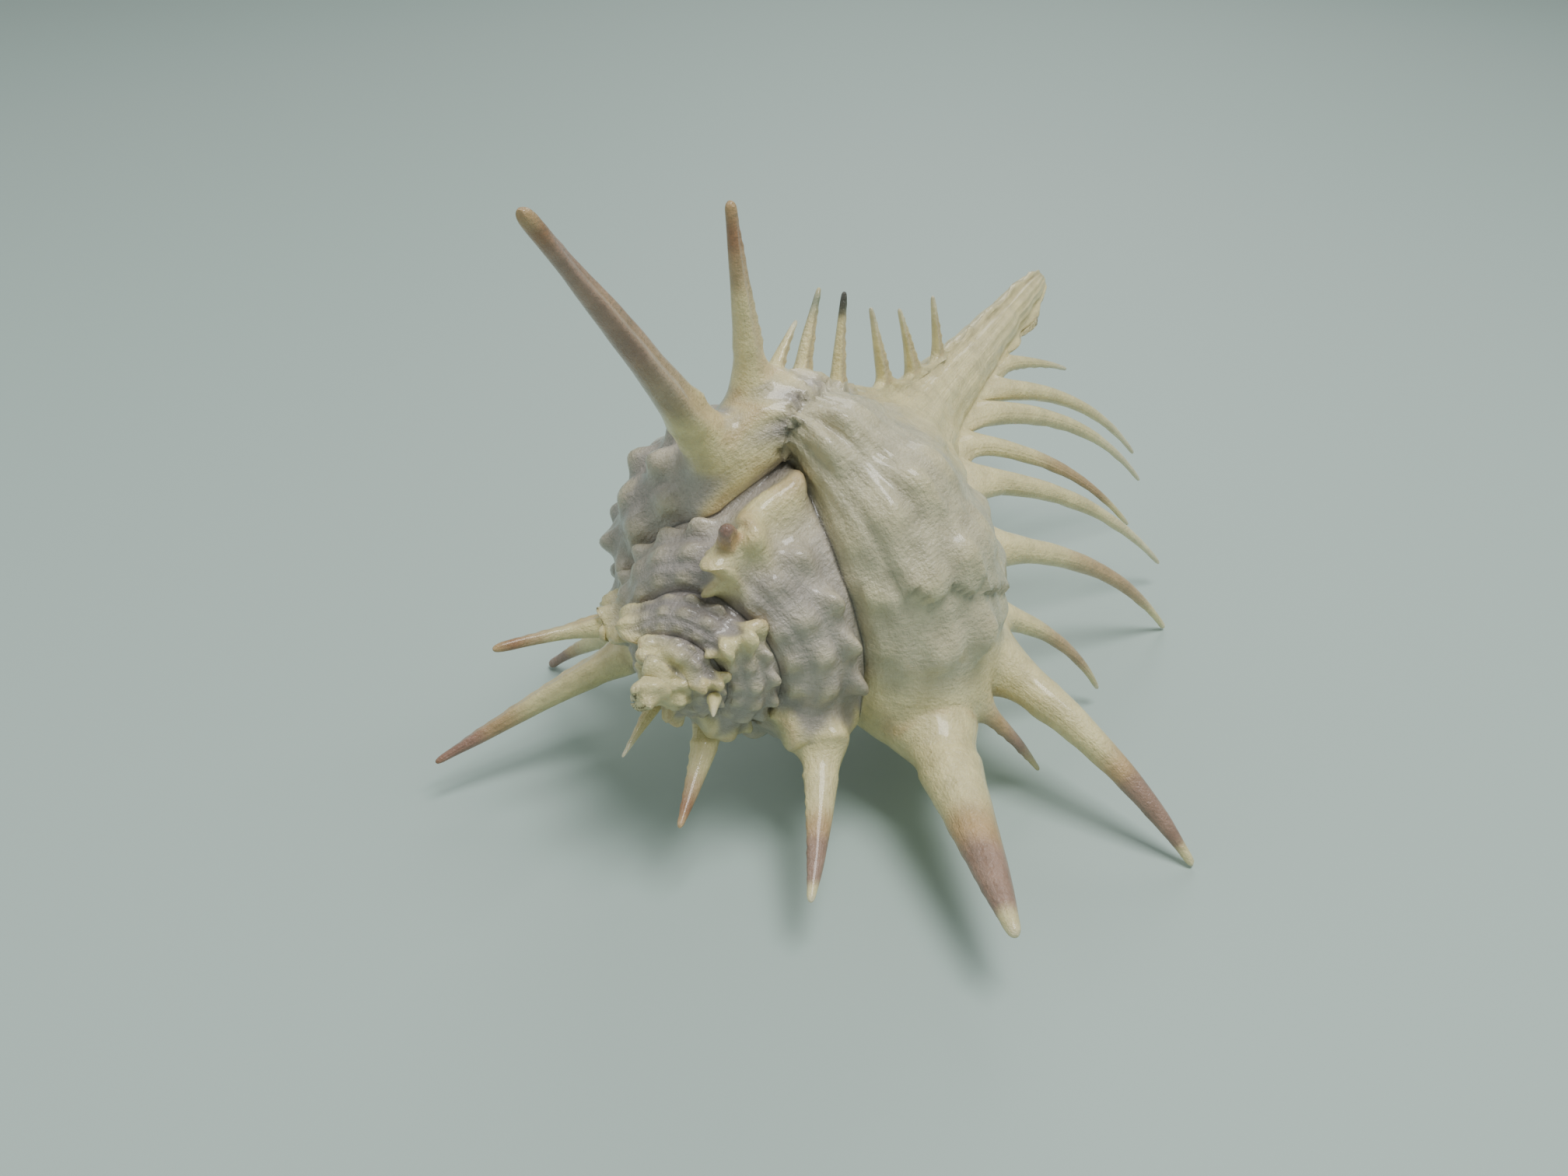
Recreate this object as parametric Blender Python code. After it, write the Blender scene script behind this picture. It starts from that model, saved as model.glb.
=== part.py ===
"""Spiny murex shell lying aperture-down, with the horny operculum lodged in its aperture.

The shell grew as one piece, so it is one body: a spiral tube of five whorls, three varices to a
whorl with their spines, and a straight siphonal canal.  Everything on it is placed in growth
terms: "turns" counts back from the lip, rows run across a whorl from suture to canal, and
points are (distance along the coiling axis, radius, azimuth) before they are laid in the
shared frame.  All lengths in the tables are millimetres.
"""
import math

import bmesh
import bpy
from mathutils import Vector

for old in list(bpy.data.objects):
    bpy.data.objects.remove(old, do_unlink=True)

MM = 0.001
SHELL_LENGTH = 110.0        # apex to the end of the canal
AXIS_PITCH = math.radians(5.5)   # the canal end rides a little higher than the apex
LIP_AZIMUTH = math.radians(-44.0)
WHORL_RATIO = 1.65          # growth from one whorl to the next
WHORLS = 4.75
COLUMNS = 48                # growth steps to a whorl

# profile of the last whorl at the lip: along the axis, radius
WHORL_PROFILE = [(20.3, 15.5), (20.7, 18.3), (22.4, 21.4), (25.4, 23.9), (28.4, 25.3),
                 (31.2, 25.8), (33.5, 25.58)]
BASE_PROFILE = [(36.3, 25.0), (39.2, 23.6), (42.3, 21.4), (46.0, 18.2), (50.0, 14.8),
                (54.5, 11.2), (59.0, 8.2), (62.0, 6.8), (65.0, 5.8), (68.2, 5.1), (71.5, 4.7),
                (74.5, 4.4), (77.8, 4.1), (81.2, 3.8), (85.2, 3.5), (91.0, 3.1), (97.0, 2.7),
                (103.0, 2.2), (108.0, 1.5)]
PROFILE = WHORL_PROFILE + BASE_PROFILE
LAST_WHORL_ROW = len(WHORL_PROFILE) - 1
CANAL_ROW = LAST_WHORL_ROW + 11   # from this row on the canal is a closed ring
CANAL_START, CANAL_BLEND = 42.0, 29.0

# the coiling axis sags a little below the straight line from apex to canal end
BOW, BOW_TOWARDS = 2.0, math.radians(-60.0)

# varices, in turns back from the lip
VARICES = [0.0444, 0.381, 0.719, 1.012, 1.33, 1.632, 1.925, 2.235, 2.545, 2.855, 3.165,
           3.475, 3.785]
VARIX_HEIGHT = 2.6
OLD_VARIX_SHARE = 1.9       # varices of the spire stand out more for their size
RIB_HEIGHT = 0.4            # mean height of the knobs between varices
# the last interval slipped down the whorl before it as it grew, and swells a little
SLIP_FROM, SLIP_TO, SLIP_ALONG, SLIP_OUT = 0.13, 0.347, 9.4, 4.6
FULL_OUT = 1.6

# canal slit on the underside
SLIT_DEPTH = 0.55
SLIT_TURN_AT_APERTURE, SLIT_TURN_AT_TIP = 1.0, 0.86

# aperture: an egg between the lip and the whorl before it
APERTURE_CENTRE = (33.0, 17.4)
APERTURE_HALF_LONG, APERTURE_HALF_WIDE = 11.6, 5.3
APERTURE_LEAN = 0.17
THROAT_TURNS = [-0.012, 0.004, 0.03, 0.06, 0.10, 0.15, 0.21, 0.27]
THROAT_SIZE = [1.02, 0.97, 0.95, 0.93, 0.90, 0.85, 0.78, 0.66]

OPERCULUM_TURN = 0.018
OPERCULUM_SIZE = 0.85
OPERCULUM_THICKNESS = 1.1


def smooth(value):
    value = min(1.0, max(0.0, value))
    return value * value * (3.0 - 2.0 * value)


def growth(turns):
    return WHORL_RATIO ** -turns


def azimuth(turns):
    return LIP_AZIMUTH + 2.0 * math.pi * turns


def place(along, radius, angle):
    """Axis coordinates to the shared frame: Y along the axis, X to the lip side, Z up."""
    up = radius * math.sin(angle)
    return Vector((radius * math.cos(angle),
                   along * math.cos(AXIS_PITCH) - up * math.sin(AXIS_PITCH),
                   along * math.sin(AXIS_PITCH) + up * math.cos(AXIS_PITCH))) * MM


def place_wall(along, radius, angle):
    """The same for points of the wall, which follow the sagging axis."""
    share = min(1.0, max(0.0, along / SHELL_LENGTH))
    return place(along, radius, angle) + place(
        0.0, BOW * math.sin(math.pi * share ** 0.5), BOW_TOWARDS)


def ridge(turns):
    """Height of varices and knobs at one growth step: gentle towards the lip, steep behind."""
    height = RIB_HEIGHT
    for number, varix in enumerate(VARICES):
        offset = (turns - varix) * 360.0
        tall = VARIX_HEIGHT * (OLD_VARIX_SHARE if number > 2 else 1.0)
        height += tall * math.exp(-(offset / (5.0 if offset > 0 else 9.0)) ** 2)
    return height


def slip(turns):
    """How far the last interval has slipped down the whorl before it, from 0 to 1."""
    if not SLIP_FROM < turns < SLIP_TO + 0.02:
        return 0.0
    grown = min(1.0, (turns - SLIP_FROM) / (SLIP_TO - SLIP_FROM))
    return grown * grown * (1.0 - smooth((turns - SLIP_TO) / 0.02))


def fullness(turns):
    return smooth((turns - 0.03) / 0.2) * (1.0 - smooth((turns - 0.36) / 0.05))


def surface(turns, row):
    """Axis coordinates of the outside at one growth step and profile row."""
    along, radius = PROFILE[row]
    before, after = PROFILE[max(row - 1, 0)], PROFILE[min(row + 1, len(PROFILE) - 1)]
    tangent = Vector((after[0] - before[0], after[1] - before[1])).normalized()
    size = growth(turns)
    straight = smooth((along - CANAL_START) / CANAL_BLEND)
    scale = size + (1.0 - size) * straight
    if row <= 2:
        amount = (0.0, 0.7, 1.0)[row] if turns > 0.9 else (0.0, 0.35, 0.8)[row]
    else:
        amount = 1.0 - 0.78 * straight
    if turns >= 1.0 and row > 2:
        amount = (1.0, 1.0, 0.9, 0.0)[row - 3] if row <= 6 else amount * 0.3
    bump = ridge(turns) * amount * max(size, straight)
    along, radius = along * scale, radius * scale
    along += -tangent.y * bump * 0.5
    radius += tangent.x * bump if row > 1 else bump
    share = row / LAST_WHORL_ROW
    lag = max(0.0, 1.0 - share) ** 1.2 if turns < 1.0 else min(1.0, share) ** 5
    if turns < 2.0:
        along += SLIP_ALONG * slip(turns % 1.0) * lag
        radius += SLIP_OUT * slip(turns % 1.0) * lag
    if turns < 1.0:
        radius += FULL_OUT * fullness(turns) * (share ** 2 if share <= 1.0 else 1.0 - straight)
    start = PROFILE[row][0]
    if start > 46.0:
        depth = SLIT_DEPTH * smooth((start - 46.0) / 12.0)
        reach = smooth((start - 48.0) / 20.0)
        centre = SLIT_TURN_AT_APERTURE + (SLIT_TURN_AT_TIP - SLIT_TURN_AT_APERTURE) * reach
        offset = (turns - centre + 0.5) % 1.0 - 0.5
        radius *= 1.0 - depth * math.exp(-(offset / 0.035) ** 2) * (1.0 if turns > 0.3 or
                                                                     start > 71.0 else 0.0)
    return along, radius


def finish(name, mesh, color, roughness):
    bmesh.ops.recalc_face_normals(mesh, faces=mesh.faces)
    if mesh.calc_volume(signed=True) < 0:
        bmesh.ops.reverse_faces(mesh, faces=mesh.faces)
    data = bpy.data.meshes.new(name)
    mesh.to_mesh(data)
    mesh.free()
    body = bpy.data.objects.new(name, data)
    bpy.context.collection.objects.link(body)
    material = bpy.data.materials.new(name + "_material")
    material.use_nodes = True
    shader = material.node_tree.nodes["Principled BSDF"]
    shader.inputs["Base Color"].default_value = (*color, 1.0)
    shader.inputs["Roughness"].default_value = roughness
    data.materials.append(material)
    return body


def egg(turns, size, steps, shift=0.0):
    """Loop of the aperture's egg at one growth step, as points in the shared frame."""
    scale = growth(turns)
    loop = []
    for step in range(steps):
        angle = 2.0 * math.pi * step / steps
        long = -math.cos(angle) * APERTURE_HALF_LONG * size
        wide = math.sin(angle) * APERTURE_HALF_WIDE * size * (1.0 - 0.12 * math.cos(angle))
        along = (APERTURE_CENTRE[0] + long) * scale
        radius = (APERTURE_CENTRE[1] + wide - APERTURE_LEAN * long) * scale
        angle_here = azimuth(turns) + shift / radius
        loop.append(place_wall(along, radius, angle_here))
    return loop


# ---------------------------------------------------------------- shell wall
shell = bmesh.new()
columns_total = int(round(WHORLS * COLUMNS))
grid = {}
for column in range(columns_total + 1):
    turns = column / COLUMNS
    for row in range(LAST_WHORL_ROW + 1):
        if row == LAST_WHORL_ROW and column >= COLUMNS:
            grid[column, row] = grid[column - COLUMNS, 0]
        else:
            grid[column, row] = shell.verts.new(
                place_wall(*surface(turns, row), azimuth(turns)))
for column in range(COLUMNS + 1):
    turns = column / COLUMNS
    for row in range(LAST_WHORL_ROW + 1, len(PROFILE)):
        if row >= CANAL_ROW and column == COLUMNS:
            grid[column, row] = grid[0, row]
        else:
            grid[column, row] = shell.verts.new(
                place_wall(*surface(turns, row), azimuth(turns)))

quads = {}
for column in range(columns_total):
    last = len(PROFILE) - 1 if column < COLUMNS else LAST_WHORL_ROW
    for row in range(last):
        quads[column, row] = shell.faces.new((grid[column, row], grid[column + 1, row],
                                              grid[column + 1, row + 1], grid[column, row + 1]))

# apex and canal end close on a point each
apex = shell.verts.new(place(0.0, 0.0, 0.0))
rim = [grid[column, 0] for column in range(columns_total - COLUMNS, columns_total + 1)]
rim += [grid[columns_total, row] for row in range(1, LAST_WHORL_ROW)]
for here, there in zip(rim, rim[1:] + rim[:1]):
    shell.faces.new((here, there, apex))
end = shell.verts.new(place(SHELL_LENGTH, 0.0, 0.0))
tail = len(PROFILE) - 1
for column in range(COLUMNS):
    shell.faces.new((grid[column, tail], grid[column + 1, tail], end))

# ---------------------------------------------------------------- aperture and throat
lip = [grid[0, row] for row in range(CANAL_ROW + 1)]
lip += [grid[COLUMNS, row] for row in range(CANAL_ROW - 1, LAST_WHORL_ROW, -1)]
steps = len(lip)
# the lip loop starts at the suture and runs over the outer side; so does the egg
rings = [lip]
for turns, size in zip(THROAT_TURNS, THROAT_SIZE):
    rings.append([shell.verts.new(point) for point in egg(turns, size, steps)])
for outer, inner in zip(rings, rings[1:]):
    for step in range(steps):
        after = (step + 1) % steps
        shell.faces.new((outer[step], outer[after], inner[after], inner[step]))
deep = shell.verts.new(sum((vert.co for vert in rings[-1]), Vector()) / steps)
for step in range(steps):
    shell.faces.new((rings[-1][step], rings[-1][(step + 1) % steps], deep))

# ---------------------------------------------------------------- spines
# varix number, column shift, profile row, tip (along, radius, azimuth), lift off the wall,
# arch towards the back, radius of the root, radius of the tip
SPINES = [
    # labral varix: shoulder, small one between, second, then the canal row
    (0, -1, 3, (2.8, 44.1, -22.0), 0.05, 0.00, 5.2, 0.9),
    (0, 0, 5, (33.9, 41.0, -39.0), 0.10, 0.05, 1.8, 0.4),
    (0, 0, 7, (30.1, 59.1, -28.4), 0.10, 0.15, 3.6, 0.6),
    (0, 0, 9, (53.7, 43.1, -41.0), 0.00, 0.20, 2.1, 0.4),
    (0, 0, 11, (75.2, 47.9, -42.65), 0.00, 0.20, 2.5, 0.5),
    (0, 0, 13, (86.8, 43.2, -44.7), 0.00, 0.18, 2.3, 0.4),
    (0, 0, 15, (87.0, 35.6, -45.0), 0.00, 0.18, 2.0, 0.4),
    (0, 0, 17, (101.5, 34.7, -49.9), 0.00, 0.20, 2.2, 0.4),
    (0, 0, 19, (105.0, 31.3, -50.5), 0.00, 0.20, 2.0, 0.4),
    (0, 0, 21, (99.9, 12.8, -45.0), 0.10, 0.10, 1.5, 0.4),
    # dorsal varix
    (1, 1, 3, (-2.7, 51.5, 93.0), 0.05, 0.00, 3.4, 0.9),
    (1, 0, 5, (26.2, 42.0, 93.1), 0.10, 0.00, 2.7, 0.7),
    (1, 0, 7, (35.7, 25.5, 92.0), 0.20, 0.00, 1.3, 0.35),
    (1, 0, 9, (41.8, 26.7, 93.0), 0.20, 0.00, 1.5, 0.4),
    (1, 0, 11, (47.4, 23.9, 93.0), 0.20, 0.00, 1.5, 0.5),
    (1, 0, 13, (53.5, 19.3, 93.0), 0.20, 0.00, 1.4, 0.4),
    (1, 0, 15, (61.0, 15.9, 93.0), 0.20, 0.00, 1.4, 0.4),
    (1, 0, 17, (70.8, 13.5, 93.0), 0.20, 0.00, 1.3, 0.4),
    # left varix and its canal row
    (2, 0, 3, (-4.0, 34.4, -145.8), 0.25, 0.00, 2.9, 0.5),
    (2, 0, 5, (23.2, 43.8, -141.2), 0.10, 0.08, 2.7, 0.7),
    (2, 0, 7, (28.0, 26.5, -142.0), 0.20, 0.00, 1.3, 0.4),
    (2, 0, 9, (39.0, 29.5, -143.0), 0.20, 0.08, 1.7, 0.4),
    (2, 0, 11, (50.0, 29.0, -143.0), 0.20, 0.10, 1.7, 0.4),
    (2, 0, 13, (62.0, 27.0, -143.0), 0.20, 0.10, 1.7, 0.4),
    (2, 0, 15, (73.0, 24.0, -143.0), 0.20, 0.10, 1.6, 0.4),
    (2, 0, 17, (83.0, 20.0, -143.0), 0.20, 0.10, 1.5, 0.4),
    (2, 0, 19, (92.0, 15.0, -143.0), 0.20, 0.10, 1.3, 0.4),
    # whorls before
    (3, -1, 3, (-2.1, 27.3, -40.7), 0.10, 0.00, 2.6, 0.5),
    (4, 0, 3, (13.5, 13.6, 77.0), 0.00, 0.00, 1.7, 1.2),
    (5, 0, 3, (-0.2, 19.1, -176.4), 0.20, 0.00, 2.0, 0.7),
    (6, -3, 3, (-2.1, 15.7, -71.6), 0.20, 0.00, 2.0, 0.4),
]
SPINE_STEPS = [0.08, 0.20, 0.34, 0.50, 0.66, 0.80, 0.91, 0.975]
SIDES = 8


def spine_radius(root, blunt, length, share):
    size = root * (0.48 + 0.52 * (1.0 - share) ** 3) * (1.0 - share ** 3) ** 0.6
    cap = 1.0 - blunt * MM / length
    if share > cap:
        return blunt * MM * math.sqrt(max(0.04, 1.0 - ((share - cap) / (1.0 - cap)) ** 2))
    return max(size, blunt) * MM


def raise_spine(varix, shift, row, tip, lift, arch, root, blunt):
    """Open the four quads round a crest vertex and draw the hole out to the spine's tip."""
    column = int(round(VARICES[varix] * COLUMNS)) + shift
    corner = [(column - 1, row - 1), (column, row - 1), (column + 1, row - 1),
              (column + 1, row), (column + 1, row + 1), (column, row + 1),
              (column - 1, row + 1), (column - 1, row)]
    loop = [grid[key] for key in corner]
    centre = grid[column, row]
    start = centre.co.copy()
    away = (loop[7].co - loop[3].co)
    goal = place(tip[0], tip[1], math.radians(tip[2]))
    angle = azimuth(column / COLUMNS)
    outward = place(0.0, 1.0, angle).normalized()
    span = goal - start
    back = Vector((0.0, 0.0, 1.0))
    back = (back - span * back.dot(span) / span.length_squared).normalized()
    bend = start + span.lerp(outward * span.length, lift) * 0.5 + back * arch * span.length
    for face_key in ((column - 1, row - 1), (column, row - 1), (column - 1, row), (column, row)):
        shell.faces.remove(quads.pop(face_key))
    shell.verts.remove(centre)
    previous = loop
    for number, share in enumerate(SPINE_STEPS):
        point = start * (1 - share) ** 2 + bend * 2 * share * (1 - share) + goal * share ** 2
        heading = ((bend - start) * (1 - share) + (goal - bend) * share).normalized()
        side = (away - heading * away.dot(heading)).normalized()
        across = heading.cross(side)
        size = spine_radius(root, blunt, span.length, share)
        ring = []
        if number == 0:
            first = loop[7].co - start
            first -= heading * first.dot(heading)
            second = loop[5].co - start
            turn = 1.0 if (side.cross(second)).dot(heading) < 0 else -1.0
        for step in range(SIDES):
            angle_here = turn * 2 * math.pi * (step + 1) / SIDES
            groove = 0.62 if step == 7 else 1.0
            ring.append(shell.verts.new(point + (side * math.cos(angle_here) +
                                                 across * math.sin(angle_here)) *
                                        size * groove))
        for step in range(SIDES):
            after = (step + 1) % SIDES
            shell.faces.new((previous[step], previous[after], ring[after], ring[step]))
        previous = ring
    peak = shell.verts.new(goal)
    for step in range(SIDES):
        shell.faces.new((previous[step], previous[(step + 1) % SIDES], peak))


for spine in SPINES:
    raise_spine(*spine)

bmesh.ops.triangulate(shell, faces=shell.faces, quad_method="BEAUTY")

# ---------------------------------------------------------------- operculum
plate = bmesh.new()
OPERCULUM_SIDES = 32
faces_of = []
for shift in (-0.5, 0.5):
    levels = []
    for size, dome in ((1.0, 0.0), (0.66, 0.25), (0.33, 0.45)):
        height = (shift * OPERCULUM_THICKNESS + (0.0 if shift > 0 else -dome))
        levels.append([plate.verts.new(point) for point in
                       egg(OPERCULUM_TURN, OPERCULUM_SIZE * size, OPERCULUM_SIDES, height)])
    faces_of.append(levels)
    for outer, inner in zip(levels, levels[1:]):
        for step in range(OPERCULUM_SIDES):
            after = (step + 1) % OPERCULUM_SIDES
            plate.faces.new((outer[step], outer[after], inner[after], inner[step]))
    plate.faces.new(levels[-1])
for step in range(OPERCULUM_SIDES):
    after = (step + 1) % OPERCULUM_SIDES
    plate.faces.new((faces_of[0][0][step], faces_of[0][0][after],
                     faces_of[1][0][after], faces_of[1][0][step]))
bmesh.ops.triangulate(plate, faces=plate.faces)

# ---------------------------------------------------------------- lay it down
low = Vector([min(vert.co[axis] for vert in shell.verts) for axis in range(3)])
high = Vector([max(vert.co[axis] for vert in shell.verts) for axis in range(3)])
rest = Vector((-(low.x + high.x) / 2, -(low.y + high.y) / 2, -low.z))
for body in (shell, plate):
    bmesh.ops.translate(body, verts=body.verts, vec=rest)

finish("shell", shell, (0.72, 0.66, 0.55), 0.35)
finish("operculum", plate, (0.10, 0.09, 0.03), 0.55)
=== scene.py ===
import math

import bmesh
import bpy
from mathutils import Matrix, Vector, noise


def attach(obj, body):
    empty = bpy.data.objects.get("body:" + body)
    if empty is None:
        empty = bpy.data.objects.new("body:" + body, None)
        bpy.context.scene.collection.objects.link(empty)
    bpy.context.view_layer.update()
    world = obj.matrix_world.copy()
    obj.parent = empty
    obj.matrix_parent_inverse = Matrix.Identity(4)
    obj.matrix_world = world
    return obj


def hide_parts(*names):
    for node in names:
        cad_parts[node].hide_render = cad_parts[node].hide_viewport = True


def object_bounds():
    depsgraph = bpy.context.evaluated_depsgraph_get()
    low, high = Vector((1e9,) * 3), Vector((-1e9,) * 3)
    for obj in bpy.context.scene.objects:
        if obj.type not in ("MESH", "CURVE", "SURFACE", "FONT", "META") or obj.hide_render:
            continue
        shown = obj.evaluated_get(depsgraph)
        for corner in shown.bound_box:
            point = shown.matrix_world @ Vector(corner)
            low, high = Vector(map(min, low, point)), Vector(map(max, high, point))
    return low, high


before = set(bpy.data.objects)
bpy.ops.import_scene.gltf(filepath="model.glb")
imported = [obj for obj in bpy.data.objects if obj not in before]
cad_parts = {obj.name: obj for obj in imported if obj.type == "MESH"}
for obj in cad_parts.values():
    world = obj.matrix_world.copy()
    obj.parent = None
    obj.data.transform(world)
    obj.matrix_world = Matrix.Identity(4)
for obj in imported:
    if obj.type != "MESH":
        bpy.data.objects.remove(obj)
cad_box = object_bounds()
bpy.ops.object.select_all(action="DESELECT")

# ======================================================================== shell
# A murex grows as one coiled tube of lime, stopping three times a whorl to thicken its lip into
# a varix.  Two flat grids are rolled up along the growth spiral, one for the whorls and one for
# the base and canal, and are welded where they meet.

# "turns" counts whorls back from the lip, and rows run from the suture over the shoulder and
# down to the end of the canal.  Profile points are (along the axis, out from it), in millimetres.
MM = 0.001
SHELL_LENGTH = 110.0
AXIS_PITCH = math.radians(5.5)
LIP_AZIMUTH = math.radians(-44.0)
LAID_DOWN = Vector((-8.926, -50.938, 25.195))
WHORL_RATIO = 1.65
WHORLS = 4.75
COLUMNS = 60

WHORL_PROFILE = [(20.3, 15.5), (20.5, 17.4), (21.3, 19.6), (22.8, 21.8), (25.0, 23.6),
                 (27.3, 24.8), (29.6, 25.5), (31.6, 25.8), (33.5, 25.58)]
BASE_PROFILE = [(36.3, 25.0), (39.2, 23.6), (42.3, 21.4), (46.0, 18.2), (50.0, 14.8),
                (54.5, 11.2), (59.0, 8.2), (62.0, 6.8), (65.0, 5.8), (68.2, 5.1), (71.5, 4.7),
                (74.5, 4.4), (77.8, 4.1), (81.2, 3.8), (85.2, 3.5), (91.0, 3.1), (97.0, 2.7),
                (103.0, 2.2), (108.0, 1.5)]
PROFILE = WHORL_PROFILE + BASE_PROFILE
WHORL_ROWS = len(WHORL_PROFILE) - 1
LAST_ROW = len(PROFILE) - 1
CANAL_ROW = WHORL_ROWS + 11
CANAL_START, CANAL_BLEND = 42.0, 29.0
BOW, BOW_TOWARDS = 2.0, math.radians(-60.0)

VARICES = [0.0444, 0.381, 0.719, 1.012, 1.33, 1.632, 1.925, 2.235, 2.545, 2.855, 3.165,
           3.475, 3.785]
VARIX_HEIGHT, VARIX_WIDTH, VARIX_STEEP_SIDE = 2.6, 9.0, 5.0
FIRST_OLD_VARIX, OLD_VARIX_SHARE, OLD_VARIX_WIDTH = 3, 2.7, 11.0
LOBE_SWING, LOBE_ROWS = 3.5, 2.8
RIB_HEIGHT, RIB_WIDTH = 0.9, 6.0
RIB_SHARES = (0.22, 0.41, 0.60, 0.80)
SLIP_FROM, SLIP_TO, SLIP_ENDS, SLIP_ALONG, SLIP_OUT = 0.13, 0.347, 0.045, 9.4, 4.6
FULL_OUT = 1.6
SLIT_DEPTH, SLIT_TURN_AT_APERTURE, SLIT_TURN_AT_TIP = 0.55, 1.0, 0.86
SLIT_START, SLIT_WIDTH = 46.0, 0.035


def smooth(value):
    value = min(1.0, max(0.0, value))
    return value * value * (3.0 - 2.0 * value)


def bell(offset, width):
    return math.exp(-(offset / width) ** 2)


def growth(turns):
    return WHORL_RATIO ** -turns


def azimuth(turns):
    return LIP_AZIMUTH + 2.0 * math.pi * turns


def place(along, radius, angle):
    """A place given along, out from and round the coiling axis, as the shell lies."""
    up = radius * math.sin(angle)
    spot = Vector((radius * math.cos(angle),
                   along * math.cos(AXIS_PITCH) - up * math.sin(AXIS_PITCH),
                   along * math.sin(AXIS_PITCH) + up * math.cos(AXIS_PITCH)))
    return (spot + LAID_DOWN) * MM


def place_wall(along, radius, angle):
    """The same, with the slight bow that the axis of the wall has."""
    share = min(1.0, max(0.0, along / SHELL_LENGTH))
    bow = BOW * math.sin(math.pi * share ** 0.5)
    return place(along, radius, angle) + (place(0.0, bow, BOW_TOWARDS) - place(0.0, 0.0, 0.0))


def rib_shape(turns, width):
    height = 0.0
    for number, varix in enumerate(VARICES):
        older = VARICES[number + 1] if number + 1 < len(VARICES) else varix + 0.31
        for share in RIB_SHARES:
            height += bell((turns - varix - share * (older - varix)) * 360.0, width)
    return height


def varix_offset(turns, row, number):
    """Degrees past a varix crest, which swings to and fro in lobes between its spines."""
    swing = LOBE_SWING * math.cos(2.0 * math.pi * row / LOBE_ROWS + number * 2.1)
    return (turns - VARICES[number]) * 360.0 + swing


def ridge(turns, row):
    """Height of the ribs and varices, before the whorl's own growth scales it."""
    height = RIB_HEIGHT * rib_shape(turns, RIB_WIDTH)
    for number in range(len(VARICES)):
        offset = varix_offset(turns, row, number)
        old = number >= FIRST_OLD_VARIX
        width = OLD_VARIX_WIDTH if old else VARIX_WIDTH
        height += VARIX_HEIGHT * (OLD_VARIX_SHARE if old else 1.0) * bell(
            offset, width if offset < 0 else VARIX_STEEP_SIDE)
    return height


def slip(turns):
    """How far the last interval has slipped down the whorl before it, from 0 to 1."""
    if not SLIP_FROM < turns < SLIP_TO + SLIP_ENDS:
        return 0.0
    return min(1.0, (turns - SLIP_FROM) / (SLIP_TO - SLIP_FROM)) ** 2 * (
        1.0 - smooth((turns - SLIP_TO) / SLIP_ENDS))


def fullness(turns):
    """How far the last interval bulges past the plain spiral, from 0 to 1."""
    return smooth((turns - 0.03) / 0.2) * (1.0 - smooth((turns - 0.36) / 0.05))


def straightness(along):
    """How far the base has given up coiling for the straight canal, from 0 to 1."""
    return smooth((along - CANAL_START) / CANAL_BLEND)


def wall(turns, row):
    """Place of the smooth wall at one growth step and profile row."""
    if row == WHORL_ROWS and turns >= 1.0:
        turns, row = turns - 1.0, 0
    elif row >= CANAL_ROW and turns >= 1.0:
        turns -= 1.0
    along, radius = PROFILE[row]
    start = along
    before, after = PROFILE[max(row - 1, 0)], PROFILE[min(row + 1, LAST_ROW)]
    tangent = Vector((after[0] - before[0], after[1] - before[1])).normalized()
    straight = straightness(along)
    scale = growth(turns) + (1.0 - growth(turns)) * straight
    amount = smooth(row / (2.5 if turns > 0.33 else 4.0)) if row < 4 else 1.0 - 0.78 * straight
    if turns >= 1.0:
        amount *= smooth((WHORL_ROWS - row) / 1.5) if row <= WHORL_ROWS else 0.3
    bump = ridge(turns, row) * amount * max(growth(turns), straight)
    along, radius = along * scale, radius * scale
    along -= tangent.y * bump * 0.5
    radius += bump if row <= 2 else tangent.x * bump
    lag = max(0.0, 1.0 - row / WHORL_ROWS) ** 1.2
    if turns >= 1.0:
        lag = min(1.0, row / WHORL_ROWS) ** 7
    along += SLIP_ALONG * slip(turns % 1.0) * lag * (turns < 2.0)
    radius += SLIP_OUT * slip(turns % 1.0) * lag * (turns < 2.0)
    if turns < 1.0:
        radius += FULL_OUT * fullness(turns) * (
            (row / WHORL_ROWS) ** 2 if row <= WHORL_ROWS else 1.0 - straight)
    if row == 0:
        along += 0.5 * scale * noise.noise(Vector((turns * 25.0, 3.0, 0.0)))
    if start > SLIT_START and (turns > 0.3 or start > 71.0):
        reach = smooth((start - 48.0) / 20.0)
        centre = SLIT_TURN_AT_APERTURE + (SLIT_TURN_AT_TIP - SLIT_TURN_AT_APERTURE) * reach
        offset = (turns - centre + 0.5) % 1.0 - 0.5
        radius *= 1.0 - SLIT_DEPTH * smooth((start - SLIT_START) / 12.0) * bell(
            offset, SLIT_WIDTH)
    return place_wall(along, radius, azimuth(turns))


def rolled_grid(name, columns, first_row, last_row):
    """A grid primitive rolled onto the wall; its UV map keeps turns and row."""
    rows = last_row - first_row
    bpy.ops.mesh.primitive_grid_add(x_subdivisions=columns, y_subdivisions=rows)
    sheet = bpy.context.object
    sheet.name = name
    mesh = sheet.data
    mesh.uv_layers[0].name = "growth"
    for vert in mesh.vertices:
        step, row = vert.index % (columns + 1), vert.index // (columns + 1)
        vert.co = wall(step / COLUMNS, first_row + row)
    for loop in mesh.loops:
        step, row = loop.vertex_index % (columns + 1), loop.vertex_index // (columns + 1)
        mesh.uv_layers[0].data[loop.index].uv = (step / COLUMNS, (first_row + row) / LAST_ROW)
    return sheet


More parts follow.
